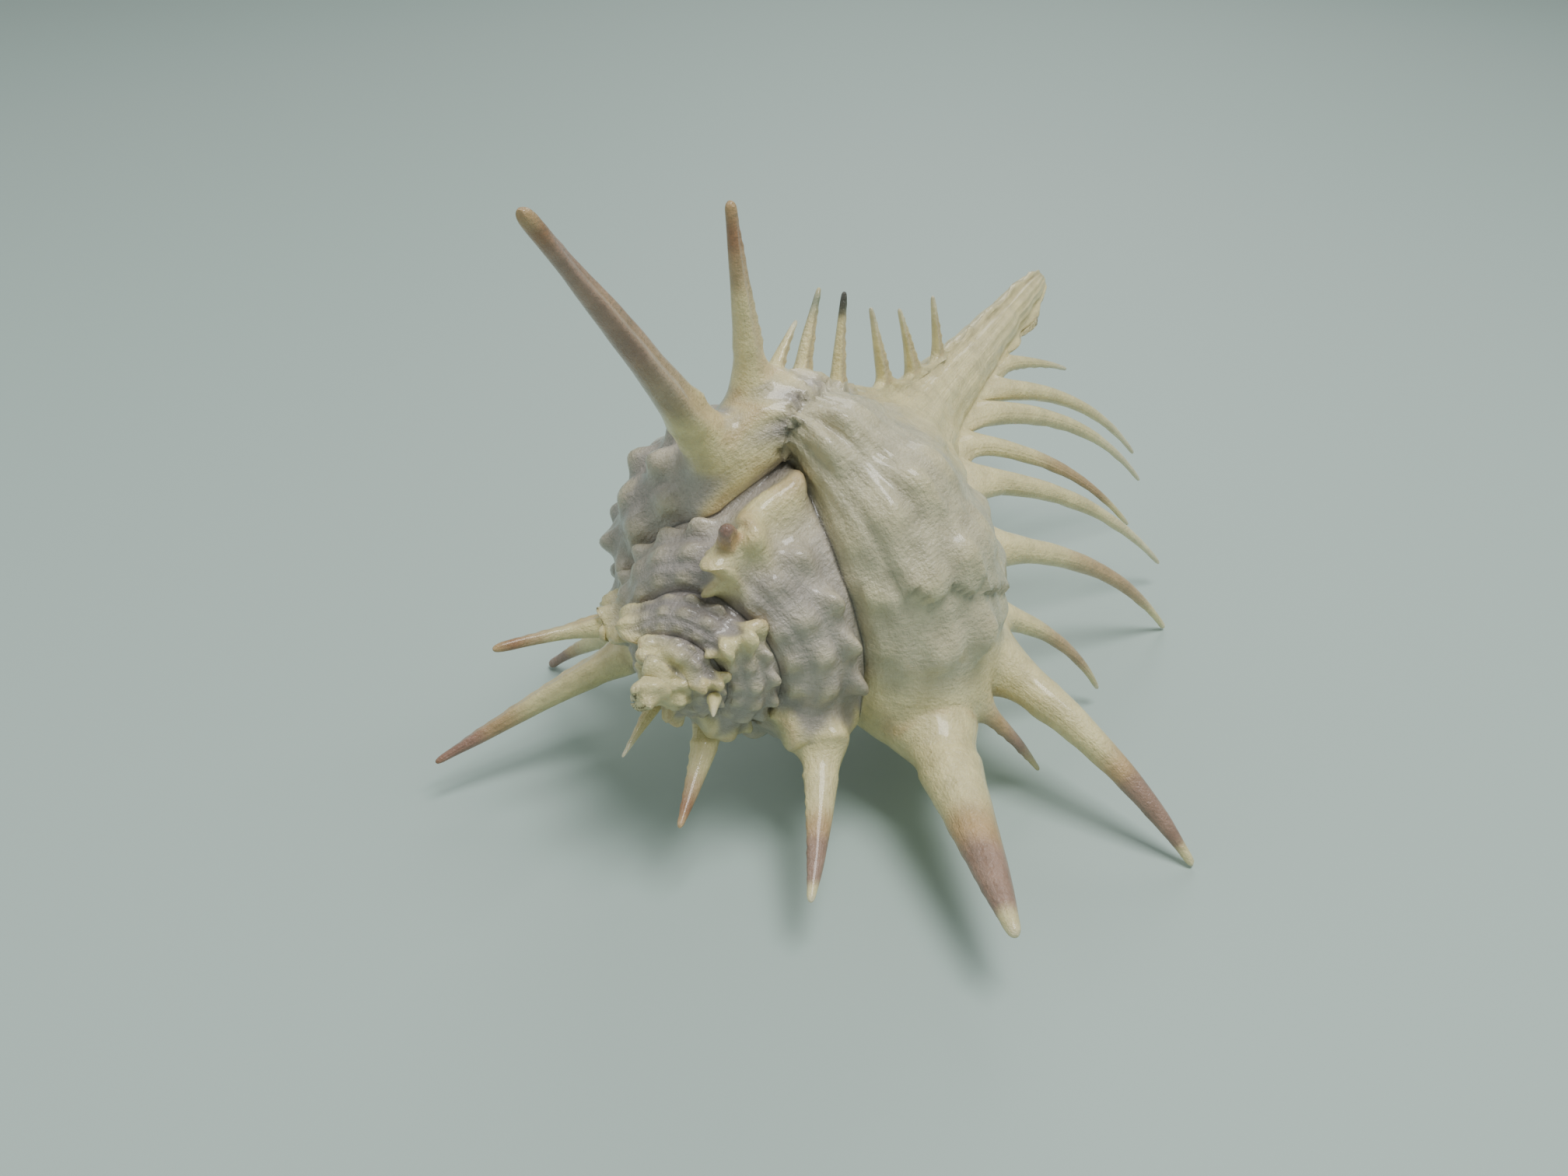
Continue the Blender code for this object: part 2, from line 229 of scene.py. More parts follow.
whorls = rolled_grid("whorls", int(WHORLS * COLUMNS), 0, WHORL_ROWS)
bpy.ops.object.select_all(action="DESELECT")
shell = rolled_grid("murex_shell", COLUMNS, WHORL_ROWS, LAST_ROW)
whorls.select_set(True)
bpy.ops.object.join()
for layer in ("share", "throat"):
    shell.data.attributes.new(layer, "FLOAT", "POINT")
shell.data.attributes.new("spine_place", "FLOAT_VECTOR", "POINT")
shell.data.attributes.new("spine_number", "FLOAT", "POINT")
bpy.ops.object.mode_set(mode="EDIT")
bpy.ops.mesh.select_mode(type="VERT")
bpy.ops.mesh.select_all(action="SELECT")
bpy.ops.mesh.remove_doubles(threshold=0.000002)


def open_rim(here, reach):
    """Select the open edges within reach of a place, and give the mesh and those edges."""
    form = bmesh.from_edit_mesh(shell.data)
    bpy.ops.mesh.select_all(action="DESELECT")
    bpy.ops.mesh.select_mode(type="EDGE")
    edges = [edge for edge in form.edges if edge.is_boundary and
             all((vert.co - here).length < reach for vert in edge.verts)]
    for edge in edges:
        edge.select = True
    bmesh.update_edit_mesh(shell.data)
    return form, edges


# the apex and the end of the canal close on a point each
for centre, reach, steps in (
        (place_wall(1.0, 0.0, 0.0), 0.004, ((0.55, place_wall(0.3, 0.0, 0.0)), )),
        (place_wall(108.0, 0.0, 0.0), 0.003, ((0.85, place_wall(109.3, 0.0, 0.0)),
                                              (0.5, place_wall(109.9, 0.0, 0.0))))):
    form, edges = open_rim(centre, reach)
    middle = sum((edge.verts[0].co + edge.verts[1].co for edge in edges), Vector())
    middle /= 2 * len(edges)
    for size, goal in steps:
        bpy.ops.mesh.extrude_edges_move(TRANSFORM_OT_translate={"value": goal - middle})
        bpy.ops.transform.resize(value=(size, size, size), center_override=goal)
        middle = goal
    bpy.ops.mesh.extrude_edges_move()
    bpy.ops.mesh.merge(type="CENTER")

# ---------------------------------------------------------------- aperture and throat
# the lip turns in to an egg-shaped mouth, and the throat follows the spiral out of sight
APERTURE_CENTRE = (33.0, 17.4)
APERTURE_HALF_LONG, APERTURE_HALF_WIDE, APERTURE_LEAN = 11.6, 5.3, 0.17
THROAT = [(-0.016, 1.10), (-0.010, 1.0), (0.004, 0.96), (0.03, 0.95), (0.06, 0.93),
          (0.10, 0.90), (0.15, 0.85), (0.21, 0.78), (0.27, 0.66)]
TOOTH_HEIGHT, TEETH = 0.045, 15.0


def egg(turns, size, share):
    """A place on the outline of the mouth, or of the throat some turns in."""
    angle = 2.0 * math.pi * share
    tooth = 0.0
    if turns < 0.02 and 0.1 < share < 0.46:
        tooth = TOOTH_HEIGHT * math.cos(2.0 * math.pi * share * TEETH)
    long = -math.cos(angle) * APERTURE_HALF_LONG * size
    wide = math.sin(angle) * APERTURE_HALF_WIDE * (size - tooth) * (1.0 - 0.12 * math.cos(angle))
    return place_wall((APERTURE_CENTRE[0] + long) * growth(turns),
                      (APERTURE_CENTRE[1] + wide - APERTURE_LEAN * long) * growth(turns),
                      azimuth(turns))


mouth_middle = place_wall(40.0, 17.0, LIP_AZIMUTH)
form, edges = open_rim(mouth_middle, 0.040)
ring = [min((vert for edge in edges for vert in edge.verts),
            key=lambda vert: (vert.co - wall(0.0, 0)).length)]
second = min((edge.other_vert(ring[0]) for edge in edges if ring[0] in edge.verts),
             key=lambda vert: (vert.co - wall(0.0, 1)).length)
ring.append(second)
while True:
    onward = [edge.other_vert(ring[-1]) for edge in edges if ring[-1] in edge.verts and
              edge.other_vert(ring[-1]) is not ring[-2]]
    if onward[0] is ring[0]:
        break
    ring.append(onward[0])
lip_corners = [vert.co.copy() for vert in ring]
for turns, size in THROAT:
    bpy.ops.mesh.extrude_edges_move()
    form = bmesh.from_edit_mesh(shell.data)
    throat = form.verts.layers.float["throat"]
    moved = [vert for vert in form.verts if vert.select]
    for vert in moved:
        number = min(range(len(lip_corners)),
                     key=lambda index: (lip_corners[index] - vert.co).length)
        vert.co = egg(turns, size, number / len(lip_corners))
        vert[throat] = smooth((turns + 0.02) / 0.03)
    lip_corners = [egg(turns, size, number / len(lip_corners))
                   for number in range(len(lip_corners))]
    bmesh.update_edit_mesh(shell.data)
bpy.ops.mesh.extrude_edges_move()
bpy.ops.mesh.merge(type="CENTER")

# ---------------------------------------------------------------- spines
# Each spine grew as a fold of the lip at its varix, with a groove on the side that faced the
# aperture.  The four faces round a point of the varix crest are extruded step by step along
# the spine's curve and rounded as they go.

# varix, column shift, row, tip (along, radius, azimuth), lift off the wall, arch towards the
# back, root radius, tip radius, pigment
SPINES = [
    (0, -1, 4, (2.8, 44.1, -22.0), 0.05, 0.00, 5.8, 0.9, "banded"),
    (0, 0, 6, (33.9, 41.0, -39.0), 0.10, 0.05, 1.8, 0.4, "short"),
    (0, 0, 9, (30.1, 59.1, -28.4), 0.10, 0.15, 3.6, 0.6, "banded"),
    (0, 0, 11, (53.7, 43.1, -41.0), 0.00, 0.20, 2.1, 0.4, "tan"),
    (0, 0, 13, (75.2, 47.9, -42.65), 0.00, 0.20, 2.5, 0.5, "tan"),
    (0, 0, 15, (86.8, 43.2, -44.7), 0.00, 0.18, 2.3, 0.4, "pale"),
    (0, 0, 17, (87.0, 35.6, -45.0), 0.00, 0.18, 2.0, 0.4, "tan"),
    (0, 0, 19, (101.5, 34.7, -49.9), 0.00, 0.20, 2.2, 0.4, "pale"),
    (0, 0, 21, (105.0, 31.3, -50.5), 0.00, 0.20, 2.0, 0.4, "pale"),
    (0, 0, 23, (99.9, 12.8, -45.0), 0.10, 0.10, 1.5, 0.4, "pale"),
    (1, 1, 4, (-2.7, 51.5, 93.0), 0.05, 0.00, 3.4, 0.9, "long"),
    (1, 0, 7, (26.2, 42.0, 93.1), 0.10, 0.00, 2.7, 0.7, "amber"),
    (1, 0, 9, (35.7, 25.5, 92.0), 0.20, 0.00, 1.3, 0.35, "pale"),
    (1, 0, 11, (41.8, 26.7, 93.0), 0.20, 0.00, 1.5, 0.4, "grey_tip"),
    (1, 0, 13, (47.4, 23.9, 93.0), 0.20, 0.00, 1.5, 0.5, "dark_tip"),
    (1, 0, 15, (53.5, 19.3, 93.0), 0.20, 0.00, 1.4, 0.4, "pale"),
    (1, 0, 17, (61.0, 15.9, 93.0), 0.20, 0.00, 1.4, 0.4, "pale"),
    (1, 0, 19, (70.8, 13.5, 93.0), 0.20, 0.00, 1.3, 0.4, "pale"),
    (2, 0, 4, (-4.0, 34.4, -145.8), 0.25, 0.00, 3.3, 0.5, "dipped"),
    (2, 0, 7, (23.2, 43.8, -141.2), 0.10, 0.08, 2.9, 0.7, "dipped"),
    (2, 0, 9, (28.0, 26.5, -142.0), 0.20, 0.00, 1.3, 0.4, "pale"),
    (2, 0, 11, (39.0, 29.5, -143.0), 0.20, 0.08, 1.7, 0.4, "tan"),
    (2, 0, 13, (50.0, 29.0, -143.0), 0.20, 0.10, 1.7, 0.4, "pale"),
    (2, 0, 15, (62.0, 27.0, -143.0), 0.20, 0.10, 1.7, 0.4, "pale"),
    (2, 0, 17, (73.0, 24.0, -143.0), 0.20, 0.10, 1.6, 0.4, "pale"),
    (2, 0, 19, (83.0, 20.0, -143.0), 0.20, 0.10, 1.5, 0.4, "pale"),
    (2, 0, 21, (92.0, 15.0, -143.0), 0.20, 0.10, 1.3, 0.4, "pale"),
    (3, -1, 4, (-2.1, 27.3, -40.7), 0.10, 0.00, 3.3, 0.5, "banded"),
    (4, 0, 4, (10.6, 16.6, 72.0), 0.00, 0.00, 1.7, 1.0, "stub"),
    (5, 0, 4, (-0.2, 19.1, -176.4), 0.20, 0.00, 2.0, 0.7, "amber"),
    (6, -3, 4, (-2.1, 15.7, -71.6), 0.20, 0.00, 2.5, 0.4, "amber"),
    (9, -4, 5, (-1.0, 9.2, -105.0), 0.00, 0.00, 1.2, 0.25, "pale"),
    (10, -4, 4, (2.4, 7.6, -12.0), 0.00, 0.00, 1.1, 0.25, "pale"),
]
SPINE_STEPS = (0.06, 0.16, 0.28, 0.42, 0.56, 0.70, 0.83, 0.93, 0.975, 0.996)
SHORT_STEPS = (0.08, 0.24, 0.46, 0.70, 0.90, 0.99)
GROOVE = {0: 0.45, 1: 1.06, 7: 1.06}
LARGE_ROOT, WIDE_ROOT, WIDEST_ROOT = 2.4, 3.2, 4.5


def spine_radius(root, blunt, length, share):
    """Thickness a share of the way out: a flared root, a long taper and a blunt round tip."""
    size = root * (0.48 + 0.52 * (1.0 - share) ** 3) * (1.0 - share ** 3) ** 0.6
    cap = 1.0 - blunt * MM / length
    if share > cap:
        return blunt * MM * math.sqrt(max(0.04, 1.0 - ((share - cap) / (1.0 - cap)) ** 2))
    return max(size, blunt) * MM


bpy.ops.mesh.select_mode(type="FACE")
for number, (varix, shift, row, tip, lift, arch, root, blunt, colours) in enumerate(SPINES):
    turns = (round(VARICES[varix] * COLUMNS) + shift) / COLUMNS
    start, goal = wall(turns, row), place(tip[0], tip[1], math.radians(tip[2]))
    newer = wall(turns - 1.0 / COLUMNS, row) if turns > 0.02 else wall(0.0, row)
    form = bmesh.from_edit_mesh(shell.data)
    crest = min(form.verts, key=lambda vert: (vert.co - start).length)
    if root > WIDE_ROOT:
        ring = {vert for face in crest.link_faces for vert in face.verts} - {crest}
        for vert in ring:
            vert.co = crest.co + (vert.co - crest.co) * (1.45 if root > WIDEST_ROOT else 1.2)
    bpy.ops.mesh.select_all(action="DESELECT")
    for face in crest.link_faces:
        face.select = True
    bmesh.update_edit_mesh(shell.data)
    outward = (place(0.0, 1.0, azimuth(turns)) - place(0.0, 0.0, 0.0)).normalized()
    span = goal - start
    back = Vector((0.0, 0.0, 1.0))
    back = (back - span * back.dot(span) / span.length_squared).normalized()
    bend = start + span.lerp(outward * span.length, lift) * 0.5 + back * arch * span.length
    for share in (SPINE_STEPS if root > LARGE_ROOT else SHORT_STEPS):
        bpy.ops.mesh.extrude_region_move()
        form = bmesh.from_edit_mesh(shell.data)
        layers = form.verts.layers
        part = [vert for vert in form.verts if vert.select]
        centre = max(part, key=lambda vert: sum(face.select for face in vert.link_faces))
        middle = start * (1 - share) ** 2 + bend * 2 * share * (1 - share) + goal * share ** 2
        heading = ((bend - start) * (1 - share) + (goal - bend) * share).normalized()
        front = newer - start
        front = (front - heading * front.dot(heading)).normalized()
        across = heading.cross(front)
        corners = [vert for vert in part if vert is not centre]
        here = centre.co.copy()
        corners.sort(key=lambda vert: math.atan2((vert.co - here).dot(across),
                                                 (vert.co - here).dot(front)))
        first = min(range(len(corners)), key=lambda index: -(
            (corners[index].co - here).normalized().dot(front)))
        size = spine_radius(root, blunt, span.length, share)
        for step, vert in enumerate(corners[first:] + corners[:first]):
            angle = 2.0 * math.pi * step / len(corners)
            reach = size * (GROOVE.get(step, 1.0) if share < 0.9 and root > 1.2 else 1.0)
            vert.co = middle + (front * math.cos(angle) + across * math.sin(angle)) * reach
            vert[layers.float_vector["spine_place"]] = (
                math.cos(angle), math.sin(angle), share * span.length / MM)
        centre.co = middle + heading * size * 0.5
        for vert in part:
            vert[layers.float["share"]] = share
            vert[layers.float["spine_number"]] = number + 1
        bmesh.update_edit_mesh(shell.data)
bpy.ops.mesh.select_all(action="SELECT")
bpy.ops.mesh.normals_make_consistent(inside=False)
bpy.ops.object.mode_set(mode="OBJECT")

rounding = shell.modifiers.new("rounding", "SUBSURF")
rounding.levels = rounding.render_levels = 2
rounding.uv_smooth = "NONE"
bpy.ops.object.modifier_apply(modifier="rounding")

# ---------------------------------------------------------------- surface relief
# Varices have a frilled crest, the intervals between them carry ribs broken into knobs, and old
# lip edges stay as scalloped steps.  The fine mesh is pushed in and out along its normals, in
# growth terms read back from the UV map.
KNOB_HEIGHT, CORD_HEIGHT, FRILL_HEIGHT, WRINKLE_HEIGHT = 1.7, 0.12, 1.1, 0.2
KNOB_ROWS, KNOB_PHASE = 2.4, 6.2
BOX_CLEARANCE = 0.00002
ROOTS = []
for varix, shift, row, tip, lift, arch, root, blunt, colours in SPINES:
    if root > LARGE_ROOT:
        turns = (round(VARICES[varix] * COLUMNS) + shift) / COLUMNS
        ROOTS.append((wall(turns, row), root, turns, row))


def knots(row, spacing, phase=0.0):
    """A wave over the rows, from 0 to 1, that breaks a rib into knobs."""
    return 0.5 + 0.5 * math.cos(2.0 * math.pi * (row - phase) / spacing)


def nearest_varix(turns, row):
    number = min(range(len(VARICES)), key=lambda index: abs(turns - VARICES[index]))
    return number, varix_offset(turns, row, number)


def old_edges(turns, row):
    """Turns from each old lip edge still standing in the last interval, and its height."""
    found = []
    for edge, scale, low in ((0.343, 1.1, -1.0), (0.178 - 0.008 * (row - 3.0), 0.9, 2.8)):
        if low < row < 13.0 and abs(turns - edge) < 0.08:
            edge += 0.010 * (1.0 - abs(math.sin(math.pi * row / 1.6)))
            edge += 0.009 * noise.noise(Vector((row * 1.9, scale * 13.0, 0.0)))
            found.append((turns - edge, scale))
    return found


def relief(turns, row, spot):
    """Height of the fine shape over the smooth wall, in millimetres."""
    number, offset = nearest_varix(turns, row)
    along = PROFILE[min(int(row), LAST_ROW)][0]
    straight = straightness(along)
    size = max(growth(turns), straight * 0.6)
    fade = smooth(row / 1.6)
    if turns >= 1.0:
        fade *= smooth((WHORL_ROWS - row) / 1.2)
    uneven = 1.0 + 0.9 * noise.noise(spot * 130.0)
    scallop = 0.55 + 0.45 * math.cos(2.0 * math.pi * row / 1.6 + number * 1.3)
    frill = FRILL_HEIGHT * scallop * bell(offset, 2.4 if offset > 0 else 6.0)
    if number >= FIRST_OLD_VARIX:
        lobes = 0.9 + 1.5 * (knots(row, 2.3, 0.7 * number) - 0.2) * uneven
        frill = FRILL_HEIGHT * 1.5 * lobes * bell(offset, 4.5 if offset > 0 else 7.5)
        fade = max(fade, smooth(row / 0.7) * bell(offset, 8.0))
    wrinkle = WRINKLE_HEIGHT * bell(offset + 12.0, 10.0) * math.cos(
        2.0 * math.pi * (offset + 2.5 * noise.noise(spot * 90.0)) / 3.4)
    calm = 0.55 if turns < 0.345 else 1.0
    wander = 0.015 * noise.noise(Vector((row * 0.8, turns * 3.0, 5.0)))
    ribs = rib_shape(turns + wander, RIB_WIDTH)
    bold = 0.5 + 0.9 * bell(row - (6.2 if turns >= 1.0 else 5.0), 1.6)
    knob = KNOB_HEIGHT * calm * bold * uneven * (
        ribs * (1.25 * knots(row, KNOB_ROWS, KNOB_PHASE) - 0.15) - 0.2)
    cord = CORD_HEIGHT * (2.0 * knots(row, 1.1) - 1.0) * (1.0 - 0.6 * straight)
    height = (frill + wrinkle + knob * (1.0 - straight) + cord) * fade * size
    for behind, scale in old_edges(turns, row):
        if behind > 0.0:
            height += scale * math.exp(-behind / 0.035)
    if turns > 0.02:
        height -= (0.35 + 0.25 * (turns < 0.345)) * size * bell(row, 0.3)
    if turns >= 1.0:
        height -= 0.4 * size * bell(WHORL_ROWS - row, 0.3)
    height += (0.55 * noise.noise(spot * 170.0) + 0.22 * noise.noise(spot * 450.0)) * size
    return height


def swell(turns, row, spot):
    """The wall rises round the root of each large spine and in a fold behind it."""
    height = 0.0
    for root, width, at_turns, at_row in ROOTS:
        distance = (spot - root).length / MM
        if distance < 5.0 * width:
            behind = (turns - at_turns) * 360.0
            trail = 34.0 if at_turns < 0.03 else 15.0
            fold = bell(row - at_row, 1.3) * bell(behind, trail if behind > 0 else 5.0)
            mound = 0.42 if width > WIDEST_ROOT else 0.27
            height = max(height, width * max(mound * bell(distance, 1.6 * width), 0.42 * fold))
    return height


def ease_roots(passes):
    """Smooth the join of wall and spine round each large root."""
    for root, width, at_turns, at_row in ROOTS:
        zone = [vert for vert in form.verts if vert[share_of] < 0.25 and
                (vert.co - root).length < 1.9 * width * MM]
        for smoothing in range(passes * (3 if width > WIDEST_ROOT else 2)):
            bmesh.ops.smooth_vert(form, verts=zone, factor=0.5, use_axis_x=True,
                                  use_axis_y=True, use_axis_z=True)


form = bmesh.new()
form.from_mesh(shell.data)
share_of = form.verts.layers.float["share"]
ease_roots(14)
form.normal_update()
growth_uv = form.loops.layers.uv["growth"]
throat_of = form.verts.layers.float["throat"]
number_of = form.verts.layers.float["spine_number"]
spine_place = form.verts.layers.float_vector["spine_place"]
apex = place_wall(0.0, 0.0, 0.0)
terms, shifts = [], []
for vert in form.verts:
    oldest = max(vert.link_loops, key=lambda loop: loop[growth_uv].uv.x)[growth_uv].uv
    newest = min(vert.link_loops, key=lambda loop: loop[growth_uv].uv.x)[growth_uv].uv
    corner = newest if oldest.x - 0.5 > newest.x else oldest
    turns, row = corner.x, corner.y * LAST_ROW
    terms.append((turns, row))
    height = 0.0
    if vert[throat_of] < 0.01:
        height = relief(turns, row, vert.co) * (1.0 - smooth(vert[share_of] / 0.10))
        height += swell(turns, row, vert.co) * (1.0 - smooth(vert[share_of] / 0.25))
        height *= 1.0 - 0.85 * smooth((vert.co.y - 0.0525) / 0.004)
    if vert[share_of] > 0.02:
        length = vert[spine_place].z
        edge = bell(abs(vert[spine_place].x - 0.72), 0.25)
        serration = 0.14 * edge * max(0.0, math.sin(2.0 * math.pi * length / 1.5))
        height += (serration + 0.10 * noise.noise(vert.co * 300.0)) * (1.0 - vert[share_of] ** 4)
    distance = (vert.co - apex).length / MM
    if distance < 9.0:
        worn = smooth((8.5 - distance) / 4.0) * (1.0 - smooth(vert[share_of] / 0.1))
        grain = 0.8 * noise.noise(vert.co * 750.0) + 0.8 * noise.noise(vert.co * 380.0)
        height = height * (1.0 - worn) + worn * grain
    shifts.append(vert.normal * height * MM)
low, high = (Vector(corner) for corner in cad_box)
for vert, shift in zip(form.verts, shifts):
    vert.co += shift
    for axis in range(3):
        vert.co[axis] = min(high[axis] - BOX_CLEARANCE,
                            max(low[axis] + BOX_CLEARANCE, vert.co[axis]))
ease_roots(6)

# ---------------------------------------------------------------- pigment and painted shade
# lilac-grey whorls, cream varices and base, amber stains, and spines that pass from cream
# through violet-brown to a pale tip, with painted shade in the suture and under old lip edges,
# kept as a colour at every point of the mesh
CREAM = (0.76, 0.665, 0.345)
PALE = (0.80, 0.73, 0.48)
LILAC = (0.435, 0.388, 0.32)
DEEP_LILAC = (0.30, 0.265, 0.24)
WARM_GREY = (0.585, 0.53, 0.345)
AMBER = (0.52, 0.35, 0.17)
VIOLET_BROWN = (0.34, 0.215, 0.155)
RUST = (0.35, 0.185, 0.09)
OLD_WHITE = (0.78, 0.74, 0.60)
# near-black painted shade, laid in the suture crevice and under the old lip steps
PAINTED_CREVICE_SHADE = (0.05, 0.04, 0.03)
SPINE_COLOURS = {
    "banded": [(0.0, CREAM), (0.42, CREAM), (0.58, AMBER), (0.68, VIOLET_BROWN),
               (0.88, VIOLET_BROWN), (0.95, CREAM), (1.0, PALE)],
    "dipped": [(0.0, CREAM), (0.5, CREAM), (0.72, AMBER), (0.80, (0.32, 0.18, 0.125)),
               (0.95, (0.32, 0.18, 0.125)), (1.0, RUST)],
    "long": [(0.0, CREAM), (0.16, CREAM), (0.34, (0.42, 0.33, 0.22)), (0.50, VIOLET_BROWN),
             (0.86, VIOLET_BROWN), (0.93, RUST), (1.0, AMBER)],
    "amber": [(0.0, CREAM), (0.45, CREAM), (0.66, (0.50, 0.36, 0.19)), (0.84, RUST),
              (1.0, AMBER)],
    "short": [(0.0, CREAM), (0.3, AMBER), (0.6, VIOLET_BROWN), (1.0, CREAM)],
    "tan": [(0.0, CREAM), (0.30, CREAM), (0.50, (0.52, 0.37, 0.19)),
            (0.74, (0.48, 0.33, 0.17)), (0.92, CREAM), (1.0, PALE)],
    "pale": [(0.0, CREAM), (0.5, CREAM), (1.0, PALE)],
    "grey_tip": [(0.0, CREAM), (0.6, CREAM), (0.85, (0.30, 0.33, 0.22)), (1.0, CREAM)],
    "dark_tip": [(0.0, CREAM), (0.72, CREAM), (0.86, (0.12, 0.12, 0.08)),
                 (1.0, (0.07, 0.07, 0.055))],
    "stub": [(0.0, CREAM), (0.2, AMBER), (0.5, VIOLET_BROWN), (1.0, (0.26, 0.16, 0.12))],
}


def mix(first, second, share):
    return tuple(a + (b - a) * share for a, b in zip(first, second))


def along_ramp(stops, share):
    """The colour a share of the way along a spine."""
    for (low, colour), (high, following) in zip(stops, stops[1:]):
        if share <= high:
            return mix(colour, following, smooth((share - low) / (high - low)))
    return stops[-1][1]


def wall_colour(turns, row, spot, height_from_apex):
    """Colour of the wall at a growth step and row, before any spine is laid over it: pigment,
    with painted shade in the suture and under the old lip edges.
    """
    number, offset = nearest_varix(turns, row)
    drift = noise.noise(spot * 70.0)
    colour = mix(LILAC, DEEP_LILAC, smooth(0.35 + 0.9 * noise.noise(spot * 110.0)))
    straight = straightness(PROFILE[min(int(row), LAST_ROW)][0])
    colour = mix(colour, WARM_GREY, 0.9 * smooth((0.350 - turns) / 0.008))
    old = number >= FIRST_OLD_VARIX
    cream = bell(offset, 5.0 if offset > 0 else (15.0 if old else 10.0))
    cream = max(cream, smooth((0.11 - turns) / 0.06) if row < 14 else 0.0)
    cream = max(cream, 0.95 * smooth((PROFILE[min(int(row), LAST_ROW)][0] - 40.0) / 16.0))
    cream = max(cream, smooth((7.5 - height_from_apex) / 3.0))
    cream = max(cream, 0.22 * rib_shape(turns, 7.0) * knots(row, KNOB_ROWS, KNOB_PHASE))
    if turns >= 1.0:
        cream *= 0.4 + 0.6 * smooth((7.3 - row) / 0.8)
    colour = mix(colour, CREAM, min(1.0, max(0.0, cream + 0.25 * drift * (cream > 0.1))))
    crest = 0.95 * bell(offset, 4.5 if offset > 0 else 6.5) * smooth((8.0 - row) / 0.8)
    colour = mix(colour, CREAM, crest if old else 0.6 * crest)
    stain = bell(offset, 3.0) * smooth(0.5 + 1.6 * noise.noise(spot * 210.0)) * 0.55
    colour = mix(colour, AMBER, stain * (1.0 - straight * 0.7))
    # painted shade: a near-black line darkens the suture crevice between the whorls
    if row < 0.5 and turns > 0.02 and height_from_apex > 7.0:
        colour = mix(colour, PAINTED_CREVICE_SHADE, 0.85 * bell(row, 0.16))
    # painted shadow: a dark line just on the newer side of each old lip step, under its overhang
    for behind, scale in old_edges(turns, row):
        colour = mix(colour, PAINTED_CREVICE_SHADE, 0.45 * scale * bell((behind + 0.002) * 360.0, 0.9))
    return colour


# the colour layer holds the shell's pigment and the painted shade of the suture and lip steps
pigment_and_shade = form.verts.layers.float_color.new("pigment_and_shade")
for vert, (turns, row) in zip(form.verts, terms):
    distance = (vert.co - apex).length / MM
    colour = wall_colour(turns, row, vert.co, distance)
    share = vert[share_of]
    if share > 0.05:
        spine = SPINES[max(0, round(vert[number_of]) - 1)]
        wander = share + 0.05 * noise.noise(vert.co * 200.0)
        colour = mix(colour, along_ramp(SPINE_COLOURS[spine[-1]], wander), smooth(share / 0.08))
        inside = smooth((vert[spine_place].x - 0.55) / 0.4)
        colour = mix(colour, AMBER, 0.5 * inside * smooth((0.9 - share) / 0.3))
    if vert[throat_of] > 0.0:
        colour = mix(colour, mix(OLD_WHITE, CREAM, 0.4), smooth(vert[throat_of] * 2.0))
    vert[pigment_and_shade] = (*colour, 1.0)
form.to_mesh(shell.data)
form.free()
bpy.ops.object.shade_smooth()

# ---------------------------------------------------------------- shell material
# lime with a glossy skin: mottled pigment, and growth lines, spiral threads and pits in relief
lime = bpy.data.materials.new("glossy_lime")
lime.use_nodes = True
nodes, links = lime.node_tree.nodes, lime.node_tree.links
shader = nodes["Principled BSDF"]
shader.inputs["Roughness"].default_value = 0.32
shader.inputs["Coat Weight"].default_value = 0.5
shader.inputs["Coat Roughness"].default_value = 0.10
shader.inputs["Subsurface Weight"].default_value = 0.12
shader.inputs["Subsurface Radius"].default_value = (0.004, 0.003, 0.002)
shader.inputs["Subsurface Scale"].default_value = 0.5


def finish_node(kind, **values):
    """A node of the finish in hand, with its sockets and settings filled in."""
    node = nodes.new(kind)
    for name, value in values.items():
        if name in node.inputs:
            node.inputs[name].default_value = value
        else:
            setattr(node, name, value)
    return node


place_node = finish_node("ShaderNodeTexCoord")
# reads the colour layer: pigment with painted shade in the suture and under the lip steps
colour_node = finish_node("ShaderNodeAttribute", attribute_name="pigment_and_shade")
uv_node = finish_node("ShaderNodeUVMap", uv_map="growth")
mottle = finish_node("ShaderNodeTexNoise", Scale=420.0, Detail=6.0, Roughness=0.62)
links.new(place_node.outputs["Object"], mottle.inputs["Vector"])
mottle_range = finish_node("ShaderNodeMapRange")
mottle_range.inputs["From Min"].default_value = 0.3
mottle_range.inputs["From Max"].default_value = 0.7
mottle_range.inputs["To Min"].default_value = 0.80
mottle_range.inputs["To Max"].default_value = 1.14
links.new(mottle.outputs["Fac"], mottle_range.inputs["Value"])
tinted = finish_node("ShaderNodeMix", data_type="RGBA", blend_type="MULTIPLY")
tinted.inputs["Factor"].default_value = 1.0
links.new(colour_node.outputs["Color"], tinted.inputs["A"])
links.new(mottle_range.outputs["Result"], tinted.inputs["B"])
links.new(tinted.outputs["Result"], shader.inputs["Base Color"])

stretch = finish_node("ShaderNodeMapping")
stretch.inputs["Scale"].default_value = (130.0, 9.0, 1.0)
links.new(uv_node.outputs["UV"], stretch.inputs["Vector"])
growth_lines = finish_node("ShaderNodeTexNoise", Scale=1.0, Detail=4.0, Roughness=0.6)
links.new(stretch.outputs["Vector"], growth_lines.inputs["Vector"])
along_growth = finish_node("ShaderNodeMapping")
along_growth.inputs["Scale"].default_value = (14.0, 150.0, 1.0)
links.new(uv_node.outputs["UV"], along_growth.inputs["Vector"])
threads = finish_node("ShaderNodeTexNoise", Scale=1.0, Detail=3.0, Roughness=0.55)
links.new(along_growth.outputs["Vector"], threads.inputs["Vector"])
pits = finish_node("ShaderNodeTexNoise", Scale=2200.0, Detail=3.0, Roughness=0.6)
links.new(place_node.outputs["Object"], pits.inputs["Vector"])
height = None
